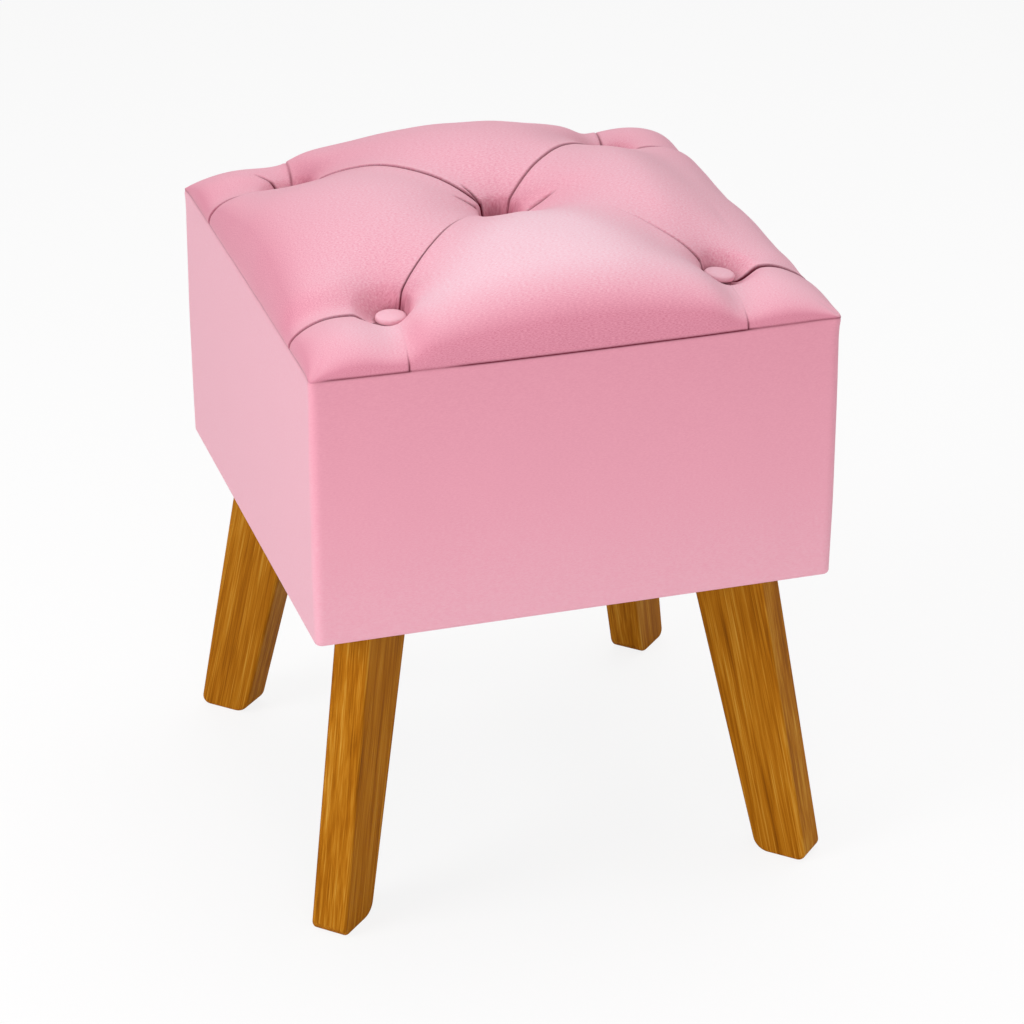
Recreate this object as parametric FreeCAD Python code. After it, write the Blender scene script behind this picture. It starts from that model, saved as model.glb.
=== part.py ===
import FreeCAD, Part
import math
import os

# Tufted pouf: a cloth-covered box with a deep-buttoned seat on four splayed board legs.
# Millimetres. The origin is on the floor under the middle of the seat, +Z is up, the front faces -Y.

# Covered box
SEAT_SIDE = 350.0  # width and depth over the side cover
SEAM_HEIGHT = 400.5  # floor to the sewn top edge
BOX_BOTTOM = 216.5  # floor to the underside of the covered box
CORNER_ROUND = 5.0  # outer radius of the covered upright edges
COVER_THICKNESS = 1.2
PAD_THICKNESS = 5.0  # foam sheet on the sides and wadding on the seat
LEG_HEM_GAP = 1.7  # from the top of a leg to the hem beside it

# Buttoned seat
CROWN_RISE = 70.0  # dome above the seam, before the tufts pull it down
EDGE_POWER = 2.7  # how late the dome falls away to the seam
TUFT_INSET = 63.0  # of the four outer tufts from the seam, along X and along Y
WELL_FLOOR_RISE = 5.0  # floor of a tuft above the seam
WELL_MARGIN = 6.0  # flat floor of a tuft round its button
WELL_STEP = 0.64  # share of a tuft's wall that rises at once, round the button
WELL_STEP_SPREAD = 4.0  # how fast that share rises
WELL_SPREAD = 55.0  # how fast the rest rises
EDGE_PLEAT_SHARE = 0.38  # of the dome that a pleat from a tuft to the seam takes away
EDGE_PLEAT_WIDTH = 18.0  # of the valley that it makes
INNER_PLEAT_SHARE = 0.18  # the same for a pleat between two tufts
INNER_PLEAT_WIDTH = 30.0
TUFT_HOLE = 16.0  # through the seat foam
SHANK_HOLE = 10.0  # through the cover and the wadding
LAYER_GAP = 0.3  # between curved layers of the seat
INNER_LINES = 14  # surface lines from the middle to an outer tuft
OUTER_LINES = 10  # surface lines from an outer tuft to the seam

# Buttons
BUTTON_DIAMETER = 21.0
BUTTON_LIFT = 1.5  # rim of a button above the floor of its tuft
BUTTON_RISE = 6.8
BUTTON_RIM = 2.0  # upright rim under the dome
BUTTON_WALL = 1.2
BACK_THICKNESS = 1.5
BACK_FIT = 0.1  # radial play of the back in its cap
LOOP_RADIUS = 3.0  # middle of the wire
LOOP_WIRE = 1.6

# Tufting twine
TWINE_DIAMETER = 1.6
TWINE_PLAY = 0.1  # round the loop, and in the holes of a washer
KNOT_DIAMETER = 6.5
WASHER_DIAMETER = 26.0
WASHER_THICKNESS = 2.5
DECK_HOLE = 8.0

# Box of boards
BOARD_THICKNESS = 12.0
BASE_THICKNESS = 15.0
DECK_THICKNESS = 12.0
DECK_DROP = 12.5  # top of the deck below the seam
BASE_FIT = 0.3  # between the base and the boards round it
POST_SIDE = 28.0

# Countersunk screws
SCREW_LENGTH = 32.0
SCREW_DIAMETER = 4.0
SCREW_HEAD = 8.0
SCREW_TIP = 5.0
SCREW_SPARE = 12.0  # height between crossing screws and the ends of upright ones
SCREW_STAGGER = 10.0  # between the screws of two boards in one post
BASE_SCREW_OFFSET = 50.0  # from the middle of a side

# Legs
LEG_THICKNESS = 26.0  # across the diagonal
LEG_TOP_WIDTH = 54.0  # along the diagonal
LEG_FOOT_WIDTH = 38.0
LEG_INSET = 46.5  # of the leg's top from the corner of the box, along the diagonal
LEG_SPLAY = 50.5  # middle of the foot out from the middle of the top
FOOT_INNER_ROUND = 12.0
FOOT_OUTER_ROUND = 6.0
LEG_EDGE_ROUND = 2.5

# Fixings of the legs
BOLT_DIAMETER = 8.0
BOLT_SETBACK = 6.0  # inwards from the middle of the leg's top
BOLT_IN_LEG = 36.0
BOLT_END = 2.0  # past the tee nut
BOLT_CHAMFER = 1.0
BOLT_PLAY = 0.3  # in the base, radial
THREAD_PLAY = 0.05  # in the tee nut, radial
TEE_FLANGE = 19.0
TEE_FLANGE_THICKNESS = 1.5
TEE_BARREL_WALL = 1.2
TEE_BARREL_LENGTH = 10.0
PRONG_LENGTH = 7.0
PRONG_WIDTH = 3.0
PRONG_THICKNESS = 1.2
DOWEL_SPACING = 22.0  # from bolt to dowel
DOWEL_DIAMETER = 8.0
DOWEL_IN_LEG = 15.0
DOWEL_IN_BASE = 10.0

# Dust cover and staples
DUST_THICKNESS = 0.6
DUST_LAP = 8.0  # over the bottom edge of the boards
STAPLE_CROWN = 10.0
STAPLE_LEG = 8.0
STAPLE_WIRE = 0.8
STAPLE_PITCH = 50.0
STAPLES_PER_SIDE = 6
DUST_STAPLE_INSET = 4.0  # from the inner face of a board
HEM_STAPLE_INSET = 2.5  # from the outer face of a board

# Worked out from the sizes above
COVER_HALF = SEAT_SIDE / 2
PAD_HALF = COVER_HALF - COVER_THICKNESS
BOARD_HALF = PAD_HALF - PAD_THICKNESS
BOX_INNER = BOARD_HALF - BOARD_THICKNESS
CARCASS_BOTTOM = BOX_BOTTOM + COVER_THICKNESS
BASE_TOP = CARCASS_BOTTOM + BASE_THICKNESS
DECK_TOP = SEAM_HEIGHT - DECK_DROP
DECK_BOTTOM = DECK_TOP - DECK_THICKNESS
FOAM_EDGE = SEAM_HEIGHT - COVER_THICKNESS - PAD_THICKNESS
POST_CENTRE = BOX_INNER - POST_SIDE / 2
TUFT_OFFSET = COVER_HALF - TUFT_INSET
LEG_TOP = CARCASS_BOTTOM - DUST_THICKNESS
LEG_TOP_RADIUS = COVER_HALF * math.sqrt(2) - LEG_INSET - LEG_TOP_WIDTH / 2
LEG_FOOT_RADIUS = LEG_TOP_RADIUS + LEG_SPLAY
LEG_REACH = (LEG_TOP_RADIUS + LEG_TOP_WIDTH / 2 + LEG_THICKNESS / 2) / math.sqrt(2)
HEM_HALF = LEG_REACH + LEG_HEM_GAP
BOLT_RADIUS = LEG_TOP_RADIUS - BOLT_SETBACK
DOWEL_RADIUS = BOLT_RADIUS + DOWEL_SPACING
WASHER_BOTTOM = DECK_BOTTOM - WASHER_THICKNESS
WELL_FLOOR_RADIUS = BUTTON_DIAMETER / 2 + WELL_MARGIN

V = FreeCAD.Vector
UP = V(0, 0, 1)
SIDES = {"front": 0, "right": 90, "rear": 180, "left": 270}
CORNERS = {"front_left": (-1, -1), "front_right": (1, -1), "rear_right": (1, 1), "rear_left": (-1, 1)}
TUFTS = {"center": (0.0, 0.0)}
for corner, (sign_x, sign_y) in CORNERS.items():
    TUFTS[corner] = (sign_x * TUFT_OFFSET, sign_y * TUFT_OFFSET)


# Small helpers
def block(low, high):
    return Part.makeBox(high[0] - low[0], high[1] - low[1], high[2] - low[2], V(*low))


def square_block(half, bottom, top):
    return block((-half, -half, bottom), (half, half, top))


def rod(diameter, x, y, bottom, top):
    return Part.makeCylinder(diameter / 2, top - bottom, V(x, y, bottom))


def turned(shape, angle):
    copy = shape.copy()
    copy.rotate(V(0, 0, 0), UP, angle)
    return copy


def moved(shape, x, y, z):
    copy = shape.copy()
    copy.translate(V(x, y, z))
    return copy


def rounded_prism(half, radius, bottom, top):
    prism = square_block(half, bottom, top)
    upright = [edge for edge in prism.Edges if abs(edge.tangentAt(edge.FirstParameter).z) > 0.5]
    return prism.makeFillet(radius, upright)


def revolved(outline):
    points = [V(r, 0, z) for r, z in outline + outline[:1]]
    return Part.Face(Part.makePolygon(points)).revolve(V(0, 0, 0), UP, 360)


def corner_angle(corner):
    sign_x, sign_y = CORNERS[corner]
    return math.degrees(math.atan2(sign_y, sign_x))


def on_diagonals(shape):
    return [turned(shape, corner_angle(corner)) for corner in CORNERS]


def at_tufts(make):
    return [make(x, y) for x, y in TUFTS.values()]


# Shape of the buttoned seat
def side_profile(distance):
    return math.sqrt(max(0.0, 1 - abs(distance / COVER_HALF) ** EDGE_POWER))


def valley(across, along, width):
    """How much of a pleat's depth is felt beside it, and before it starts."""
    return math.exp(-((across / width) ** 2) - (min(along, 0.0) / width) ** 2)


def crown_height(x, y):
    """Height of the cover's outer face above the seam."""
    edge = side_profile(x) * side_profile(y)
    near, far = sorted((abs(x), abs(y)))
    from_diagonal = (far - near) / math.sqrt(2)
    rise = CROWN_RISE * edge
    rise *= 1 - INNER_PLEAT_SHARE * valley(from_diagonal, TUFT_OFFSET - far, INNER_PLEAT_WIDTH)
    rise *= 1 - EDGE_PLEAT_SHARE * valley(near - TUFT_OFFSET, far - TUFT_OFFSET, EDGE_PLEAT_WIDTH)
    wall = 1.0
    for tuft_x, tuft_y in TUFTS.values():
        climb = max(0.0, math.hypot(x - tuft_x, y - tuft_y) - WELL_FLOOR_RADIUS)
        step = WELL_STEP * math.exp(-climb / WELL_STEP_SPREAD)
        wall *= 1 - step - (1 - WELL_STEP) * math.exp(-climb / WELL_SPREAD)
    return rise * wall + WELL_FLOOR_RISE * edge * (1 - wall)


def eased(start, stop, count):
    """Places from start up to stop, closer together at both ends."""
    return [start + (stop - start) * (1 - math.cos(math.pi * i / count)) / 2 for i in range(count)]


def surface_lines():
    half = eased(0.0, TUFT_OFFSET, INNER_LINES) + eased(TUFT_OFFSET, COVER_HALF, OUTER_LINES) + [COVER_HALF]
    return [-place for place in half[:0:-1]] + half


def crown_face(depth):
    """The seat's surface, lying at this depth under the cover's outer face."""
    shrink = (COVER_HALF - depth) / COVER_HALF
    lines = surface_lines()
    poles = [
        [V(x * shrink, y * shrink, SEAM_HEIGHT - depth + crown_height(x, y)) for y in lines] for x in lines
    ]
    spans = len(lines) - 3
    knots = [float(i) for i in range(spans + 1)]
    repeats = [4] + [1] * (spans - 1) + [4]
    surface = Part.BSplineSurface()
    surface.buildFromPolesMultsKnots(poles, repeats, repeats, knots, knots, False, False, 3, 3)
    return surface.toShape()


def closed_solid(faces):
    shell = Part.makeShell(faces)
    shell.sewShape()
    solid = Part.makeSolid(Part.Shell(shell.Faces))
    solid.fix(1e-6, 1e-6, 1e-6)
    if solid.Volume < 0:
        solid.reverse()
    return solid


def ruled_sides(upper, lower):
    """The four flat faces between the square borders of two surfaces."""
    sides = []
    for edge in upper.Edges:
        middle = edge.BoundBox.Center
        partner = min(lower.Edges, key=lambda other: (other.BoundBox.Center - middle).Length)
        sides.append(Part.makeRuledSurface(edge, partner))
    return sides


def seat_layer(top_depth, bottom_depth):
    """A curved layer of the seat between two depths, with its corners rounded as the box is."""
    upper = crown_face(top_depth)
    lower = crown_face(bottom_depth)
    layer = closed_solid([upper, lower] + ruled_sides(upper, lower))
    half = COVER_HALF - top_depth
    trim = rounded_prism(half, CORNER_ROUND - top_depth, DECK_TOP, SEAM_HEIGHT + CROWN_RISE)
    return layer.common(trim).Solids[0]


def top_cover():
    holes = at_tufts(lambda x, y: rod(SHANK_HOLE, x, y, DECK_TOP, SEAM_HEIGHT + CROWN_RISE))
    return seat_layer(0.0, COVER_THICKNESS).cut(holes)


def seat_wadding():
    holes = at_tufts(lambda x, y: rod(SHANK_HOLE, x, y, DECK_TOP, SEAM_HEIGHT + CROWN_RISE))
    return seat_layer(COVER_THICKNESS + LAYER_GAP, COVER_THICKNESS + PAD_THICKNESS - LAYER_GAP).cut(holes)


def seat_foam():
    upper = crown_face(COVER_THICKNESS + PAD_THICKNESS)
    base = square_block(BOARD_HALF, DECK_TOP, FOAM_EDGE)
    lid = min(base.Faces, key=lambda face: (face.CenterOfMass - V(0, 0, FOAM_EDGE)).Length)
    walls = [face for face in base.Faces if not face.isSame(lid)]
    foam = closed_solid(walls + [upper])
    holes = at_tufts(lambda x, y: rod(TUFT_HOLE, x, y, DECK_TOP, SEAM_HEIGHT + CROWN_RISE))
    return foam.cut(holes)


# Buttons, twine and washers
def button_seat(x, y):
    return SEAM_HEIGHT + crown_height(x, y) + BUTTON_LIFT


def dome(radius, rise, rim):
    """A solid button: an upright rim with a round dome on it."""
    height = rise - rim
    ball = (radius**2 + height**2) / (2 * height)
    sphere = Part.makeSphere(ball, V(0, 0, rise - ball))
    return sphere.common(rod(2 * radius, 0, 0, 0, rise))


def button_cap(x, y):
    radius = BUTTON_DIAMETER / 2
    inside = dome(radius - BUTTON_WALL, BUTTON_RISE - BUTTON_WALL, BUTTON_RIM)
    return moved(dome(radius, BUTTON_RISE, BUTTON_RIM).cut(inside), x, y, button_seat(x, y))


def button_back(x, y):
    plate = rod(BUTTON_DIAMETER - 2 * (BUTTON_WALL + BACK_FIT), 0, 0, 0, BACK_THICKNESS)
    loop = Part.makeTorus(LOOP_RADIUS, LOOP_WIRE / 2, V(0, 0, 0), V(0, 1, 0))
    below = square_block(BUTTON_DIAMETER, -BUTTON_DIAMETER, BACK_THICKNESS / 2)
    return moved(plate.fuse(loop.common(below)).removeSplitter(), x, y, button_seat(x, y))


def strand_offset():
    return LOOP_WIRE / 2 + TWINE_DIAMETER / 2 + TWINE_PLAY


def tuft_twine(x, y):
    """Two strands that hang from the wire loop, with a knot under the washer."""
    wire_height = button_seat(x, y) - LOOP_RADIUS
    knot_height = WASHER_BOTTOM - KNOT_DIAMETER / 2
    arch = Part.makeTorus(strand_offset(), TWINE_DIAMETER / 2, V(x, y, wire_height), V(1, 0, 0))
    over = moved(square_block(WASHER_DIAMETER, 0, WASHER_DIAMETER), x, y, wire_height)
    strands = [
        rod(TWINE_DIAMETER, x, y + side * strand_offset(), knot_height, wire_height) for side in (-1, 1)
    ]
    knot = Part.makeSphere(KNOT_DIAMETER / 2, V(x, y, knot_height))
    return arch.common(over).multiFuse(strands + [knot]).removeSplitter()


def twine_washer(x, y):
    washer = rod(WASHER_DIAMETER, x, y, WASHER_BOTTOM, DECK_BOTTOM)
    hole = TWINE_DIAMETER + 2 * TWINE_PLAY
    return washer.cut(
        [rod(hole, x, y + side * strand_offset(), WASHER_BOTTOM, DECK_BOTTOM) for side in (-1, 1)]
    )


# Screws of the box
def wood_screw():
    head = SCREW_HEAD / 2
    shank = SCREW_DIAMETER / 2
    neck = shank - head
    taper = SCREW_TIP - SCREW_LENGTH
    return revolved([(0, 0), (head, 0), (shank, neck), (shank, taper), (0, -SCREW_LENGTH)])


def screw_at(point, direction):
    screw = wood_screw()
    screw.Placement = FreeCAD.Placement(V(*point), FreeCAD.Rotation(V(0, 0, -1), V(*direction)))
    return screw


def post_screws():
    """Two screws at each end of every board; neighbouring boards use different heights."""
    low = CARCASS_BOTTOM + SCREW_LENGTH + SCREW_SPARE
    high = DECK_TOP - SCREW_LENGTH - SCREW_SPARE
    screws = {}
    for side, angle in SIDES.items():
        stagger = 0.0 if angle % 180 == 0 else SCREW_STAGGER
        heights = (low + stagger, high - stagger)
        places = [(x, -BOARD_HALF, z) for x in (-POST_CENTRE, POST_CENTRE) for z in heights]
        screws[side] = [turned(screw_at(place, (0, 1, 0)), angle) for place in places]
    return screws


def base_edge_screws():
    height = CARCASS_BOTTOM + BASE_THICKNESS / 2
    screws = {}
    for side, angle in SIDES.items():
        places = [(x, -BOARD_HALF, height) for x in (-BASE_SCREW_OFFSET, BASE_SCREW_OFFSET)]
        screws[side] = [turned(screw_at(place, (0, 1, 0)), angle) for place in places]
    return screws


def upright_screws(height, direction):
    places = [(sx * POST_CENTRE, sy * POST_CENTRE, height) for sx, sy in CORNERS.values()]
    return [screw_at(place, direction) for place in places]


def deck_edge_screws():
    screw = screw_at((0, BOARD_THICKNESS / 2 - BOARD_HALF, DECK_TOP), (0, 0, -1))
    return [turned(screw, angle) for angle in SIDES.values()]


# Staples
def staple_row(inset_half, crown_top):
    """Staples along the front edge, driven upwards, with their crowns under crown_top."""
    first = -STAPLE_PITCH * (STAPLES_PER_SIDE - 1) / 2
    reach = STAPLE_CROWN / 2
    near = -inset_half - STAPLE_WIRE / 2
    far = -inset_half + STAPLE_WIRE / 2
    point = crown_top + STAPLE_LEG
    bar = block((-reach, near, crown_top - STAPLE_WIRE), (reach, far, crown_top))
    left_leg = block((-reach, near, crown_top), (STAPLE_WIRE - reach, far, point))
    right_leg = block((reach - STAPLE_WIRE, near, crown_top), (reach, far, point))
    staple = bar.multiFuse([left_leg, right_leg]).removeSplitter()
    return [moved(staple, first + i * STAPLE_PITCH, 0, 0) for i in range(STAPLES_PER_SIDE)]


def all_sides(row):
    return {side: [turned(piece, angle) for piece in row] for side, angle in SIDES.items()}


def flat(groups):
    return [piece for group in groups.values() for piece in group]


# Boards and posts
def side_board(side, holes):
    """Front and rear boards run the full width; the others stand between them."""
    angle = SIDES[side]
    half = BOARD_HALF if angle % 180 == 0 else BOX_INNER
    board = block((-half, -BOARD_HALF, CARCASS_BOTTOM), (half, -BOX_INNER, DECK_BOTTOM))
    return turned(board, angle).cut(holes)


def side_pad(side):
    """Front and rear foam sheets cover the corners, which follow the rounded cover."""
    angle = SIDES[side]
    half = PAD_HALF if angle % 180 == 0 else BOARD_HALF
    pad = block((-half, -PAD_HALF, CARCASS_BOTTOM), (half, -BOARD_HALF, FOAM_EDGE))
    corners = rounded_prism(PAD_HALF, CORNER_ROUND - COVER_THICKNESS, CARCASS_BOTTOM, FOAM_EDGE)
    return turned(pad, angle).common(corners)


def corner_post(sign_x, sign_y):
    inner = BOX_INNER - POST_SIDE
    xs = sorted((sign_x * inner, sign_x * BOX_INNER))
    ys = sorted((sign_y * inner, sign_y * BOX_INNER))
    return block((xs[0], ys[0], BASE_TOP), (xs[1], ys[1], DECK_BOTTOM))


def base_board():
    base = square_block(BOX_INNER - BASE_FIT, CARCASS_BOTTOM, BASE_TOP)
    bolt_hole = rod(BOLT_DIAMETER + 2 * BOLT_PLAY, BOLT_RADIUS, 0, CARCASS_BOTTOM, BASE_TOP)
    dowel_hole = rod(DOWEL_DIAMETER, DOWEL_RADIUS, 0, CARCASS_BOTTOM, CARCASS_BOTTOM + DOWEL_IN_BASE)
    return base.cut(on_diagonals(bolt_hole) + on_diagonals(dowel_hole) + on_diagonals(tee_nut_body()))


def deck_board():
    deck = square_block(BOARD_HALF, DECK_BOTTOM, DECK_TOP)
    return deck.cut(at_tufts(lambda x, y: rod(DECK_HOLE, x, y, DECK_BOTTOM, DECK_TOP)))


# Legs and their fixings, built along +X and turned to the diagonals
def leg():
    corners = [
        V(LEG_TOP_RADIUS - LEG_TOP_WIDTH / 2, -LEG_THICKNESS / 2, LEG_TOP),
        V(LEG_TOP_RADIUS + LEG_TOP_WIDTH / 2, -LEG_THICKNESS / 2, LEG_TOP),
        V(LEG_FOOT_RADIUS + LEG_FOOT_WIDTH / 2, -LEG_THICKNESS / 2, 0),
        V(LEG_FOOT_RADIUS - LEG_FOOT_WIDTH / 2, -LEG_THICKNESS / 2, 0),
    ]
    board = Part.Face(Part.makePolygon(corners + corners[:1])).extrude(V(0, LEG_THICKNESS, 0))
    for place, radius in ((corners[2], FOOT_OUTER_ROUND), (corners[3], FOOT_INNER_ROUND)):
        middle = V(place.x, 0, 0)
        foot_edge = min(board.Edges, key=lambda edge: (edge.BoundBox.Center - middle).Length)
        board = board.makeFillet(radius, [foot_edge])
    broad_faces = [face for face in board.Faces if abs(face.normalAt(0, 0).y) > 0.5]
    outline = [edge for face in broad_faces for edge in face.Edges]
    long_edges = [edge for edge in outline if edge.BoundBox.ZMin < LEG_TOP / 2]
    board = board.makeFillet(LEG_EDGE_ROUND, long_edges)
    bolt_hole = rod(BOLT_DIAMETER, BOLT_RADIUS, 0, LEG_TOP - BOLT_IN_LEG, LEG_TOP)
    dowel_hole = rod(DOWEL_DIAMETER, DOWEL_RADIUS, 0, LEG_TOP - DOWEL_IN_LEG, LEG_TOP)
    return board.cut([bolt_hole, dowel_hole])


def hanger_bolt():
    bottom = LEG_TOP - BOLT_IN_LEG
    top = BASE_TOP + TEE_FLANGE_THICKNESS + BOLT_END
    bolt = rod(BOLT_DIAMETER, BOLT_RADIUS, 0, bottom, top)
    tip = max(bolt.Edges, key=lambda edge: edge.BoundBox.Center.z)
    return bolt.makeChamfer(BOLT_CHAMFER, [tip])


def tee_nut_body():
    """The tee nut without its thread: flange on the base, barrel and prongs in it."""
    flange = rod(TEE_FLANGE, BOLT_RADIUS, 0, BASE_TOP, BASE_TOP + TEE_FLANGE_THICKNESS)
    barrel_diameter = BOLT_DIAMETER + 2 * (THREAD_PLAY + TEE_BARREL_WALL)
    barrel = rod(barrel_diameter, BOLT_RADIUS, 0, BASE_TOP - TEE_BARREL_LENGTH, BASE_TOP)
    rim = TEE_FLANGE / 2
    point = BASE_TOP - PRONG_LENGTH
    prong = block((rim - PRONG_THICKNESS, -PRONG_WIDTH / 2, point), (rim, PRONG_WIDTH / 2, BASE_TOP))
    prong = prong.common(rod(TEE_FLANGE, 0, 0, point, BASE_TOP))
    prongs = [moved(turned(prong, angle), BOLT_RADIUS, 0, 0) for angle in SIDES.values()]
    return flange.multiFuse([barrel] + prongs)


def tee_nut():
    top = BASE_TOP + TEE_FLANGE_THICKNESS
    thread = rod(BOLT_DIAMETER + 2 * THREAD_PLAY, BOLT_RADIUS, 0, BASE_TOP - TEE_BARREL_LENGTH, top)
    return tee_nut_body().cut(thread).removeSplitter()


def leg_dowel():
    return rod(DOWEL_DIAMETER, DOWEL_RADIUS, 0, LEG_TOP - DOWEL_IN_LEG, CARCASS_BOTTOM + DOWEL_IN_BASE)


# Covers of the sides and the underside
def side_cover(holes):
    """A band round the box, mitred at the seam and turned under the boards as a hem."""
    band = rounded_prism(COVER_HALF, CORNER_ROUND, BOX_BOTTOM, SEAM_HEIGHT)
    sole = [edge for edge in band.Edges if edge.BoundBox.ZMax < BOX_BOTTOM + LAYER_GAP]
    band = band.makeFillet(COVER_THICKNESS, sole)
    mitre_bottom = SEAM_HEIGHT - COVER_THICKNESS
    inside = rounded_prism(PAD_HALF, CORNER_ROUND - COVER_THICKNESS, CARCASS_BOTTOM, mitre_bottom)
    hem_opening = square_block(HEM_HALF, BOX_BOTTOM, CARCASS_BOTTOM)
    lower = Part.makePolygon(square_corners(PAD_HALF, mitre_bottom))
    upper = Part.makePolygon(square_corners(COVER_HALF, SEAM_HEIGHT))
    mitre = Part.makeLoft([lower, upper], True, True)
    return band.cut([inside, hem_opening, mitre] + holes)


def square_corners(half, height):
    signs = [(-1, -1), (1, -1), (1, 1), (-1, 1), (-1, -1)]
    return [V(half * sx, half * sy, height) for sx, sy in signs]


def dust_cover(holes):
    """Stretched flat under the base, stepping down over the hem to its stapled rim."""
    wall = HEM_HALF - DUST_THICKNESS
    rim_half = BOX_INNER + DUST_LAP
    sheet = square_block(HEM_HALF, BOX_BOTTOM - DUST_THICKNESS, CARCASS_BOTTOM)
    sheet = sheet.cut(square_block(wall, BOX_BOTTOM - DUST_THICKNESS, LEG_TOP))
    rim = square_block(rim_half, BOX_BOTTOM - DUST_THICKNESS, BOX_BOTTOM)
    rim = rim.cut(square_block(wall, BOX_BOTTOM - DUST_THICKNESS, BOX_BOTTOM))
    bolt_hole = rod(BOLT_DIAMETER + 2 * BOLT_PLAY, BOLT_RADIUS, 0, LEG_TOP, CARCASS_BOTTOM)
    dowel_hole = rod(DOWEL_DIAMETER + 2 * BOLT_PLAY, DOWEL_RADIUS, 0, LEG_TOP, CARCASS_BOTTOM)
    sheet = sheet.fuse(rim).removeSplitter()
    return sheet.cut(on_diagonals(bolt_hole) + on_diagonals(dowel_hole) + holes)


def build():
    """All pieces of the pouf by name."""
    board_screws = post_screws()
    edge_screws = base_edge_screws()
    deck_screws = upright_screws(DECK_TOP, (0, 0, -1)) + deck_edge_screws()
    base_screws = upright_screws(CARCASS_BOTTOM, (0, 0, 1))
    hem_staples = all_sides(staple_row(BOARD_HALF - HEM_STAPLE_INSET, BOX_BOTTOM))
    dust_staples = all_sides(staple_row(BOX_INNER + DUST_STAPLE_INSET, BOX_BOTTOM - DUST_THICKNESS))
    staples = flat(hem_staples) + flat(dust_staples)

    pieces = {}
    for corner, signs in CORNERS.items():
        pieces["leg_" + corner] = turned(leg(), corner_angle(corner))
        screws = flat(board_screws) + deck_screws + base_screws
        pieces["corner_post_" + corner] = corner_post(*signs).cut(screws)
    for side in SIDES:
        fixings = board_screws[side] + edge_screws[side] + hem_staples[side] + dust_staples[side]
        pieces[side + "_board"] = side_board(side, fixings + deck_screws)
        pieces[side + "_pad"] = side_pad(side)
    for tuft, (x, y) in TUFTS.items():
        pieces["button_cap_" + tuft] = button_cap(x, y)
    pieces["base_board"] = base_board().cut(flat(edge_screws) + base_screws)
    pieces["deck_board"] = deck_board().cut(deck_screws)
    pieces["seat_foam"] = seat_foam()
    pieces["seat_wadding"] = seat_wadding()
    pieces["top_cover"] = top_cover()
    pieces["side_cover"] = side_cover(staples)
    pieces["dust_cover"] = dust_cover(flat(dust_staples))

    pieces["hanger_bolts"] = Part.makeCompound(on_diagonals(hanger_bolt()))
    pieces["tee_nuts"] = Part.makeCompound(on_diagonals(tee_nut()))
    pieces["leg_dowels"] = Part.makeCompound(on_diagonals(leg_dowel()))
    pieces["button_backs"] = Part.makeCompound(at_tufts(button_back))
    pieces["tuft_twine"] = Part.makeCompound(at_tufts(tuft_twine))
    pieces["twine_washers"] = Part.makeCompound(at_tufts(twine_washer))
    pieces["board_screws"] = Part.makeCompound(flat(board_screws))
    pieces["base_edge_screws"] = Part.makeCompound(flat(edge_screws))
    pieces["base_post_screws"] = Part.makeCompound(base_screws)
    pieces["deck_screws"] = Part.makeCompound(deck_screws)
    pieces["hem_staples"] = Part.makeCompound(flat(hem_staples))
    pieces["dust_cover_staples"] = Part.makeCompound(flat(dust_staples))
    return pieces


os.makedirs("parts", exist_ok=True)
for name, piece in build().items():
    piece.exportStep("parts/" + name + ".step")
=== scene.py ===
import math

import bmesh
import bpy
import numpy as np
from mathutils import Matrix, Vector, noise


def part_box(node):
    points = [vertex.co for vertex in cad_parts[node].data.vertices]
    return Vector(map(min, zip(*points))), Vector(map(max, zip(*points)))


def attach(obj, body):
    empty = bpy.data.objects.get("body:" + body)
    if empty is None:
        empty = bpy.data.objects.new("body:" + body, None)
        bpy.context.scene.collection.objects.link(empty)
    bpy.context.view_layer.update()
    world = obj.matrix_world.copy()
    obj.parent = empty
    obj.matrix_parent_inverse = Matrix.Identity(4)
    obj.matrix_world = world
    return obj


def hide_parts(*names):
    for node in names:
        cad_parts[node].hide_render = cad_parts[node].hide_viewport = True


# Tufted pouf in the frame of the CAD model: metres, floor at z = 0, front towards -Y.
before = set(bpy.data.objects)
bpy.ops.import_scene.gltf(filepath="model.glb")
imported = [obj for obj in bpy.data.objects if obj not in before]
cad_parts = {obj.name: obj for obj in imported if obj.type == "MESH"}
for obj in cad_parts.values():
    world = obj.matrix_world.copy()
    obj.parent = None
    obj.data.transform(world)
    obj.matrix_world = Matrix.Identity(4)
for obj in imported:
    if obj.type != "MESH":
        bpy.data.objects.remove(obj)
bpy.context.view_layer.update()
MM = 0.001
HAIR = 0.001 * MM
TINY = 1e-9

# Places taken from the CAD nodes
COVER_LOW, COVER_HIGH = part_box("side_cover")
HALF = COVER_HIGH.x
SEAM = COVER_HIGH.z
BOTTOM = COVER_LOW.z
CAP_LOW, CAP_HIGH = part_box("button_cap_front_right")
TUFT = (CAP_LOW.x + CAP_HIGH.x) / 2
BUTTON_RADIUS = (CAP_HIGH.x - CAP_LOW.x) / 2
BACK_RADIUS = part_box("button_backs")[1].x - TUFT
SEAT_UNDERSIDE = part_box("seat_foam")[0].z
CORNER_ROUND = 5 * MM
CORNER_FADE = 20 * MM  # inside the edge, the net of the seat turns from square to rounded

# Tufts in plan; the photo shows the front pair a few millimetres to the right of the even places
TUFTS = {
    "center": (0.0, 0.0),
    "front_left": (-TUFT + 6.5 * MM, -TUFT),
    "front_right": (TUFT + 3 * MM, -TUFT + 1 * MM),
    "rear_right": (TUFT, TUFT),
    "rear_left": (-TUFT, TUFT),
}
MIDDLE, FRONT_LEFT, FRONT_RIGHT, REAR_RIGHT, REAR_LEFT = TUFTS.values()

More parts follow.
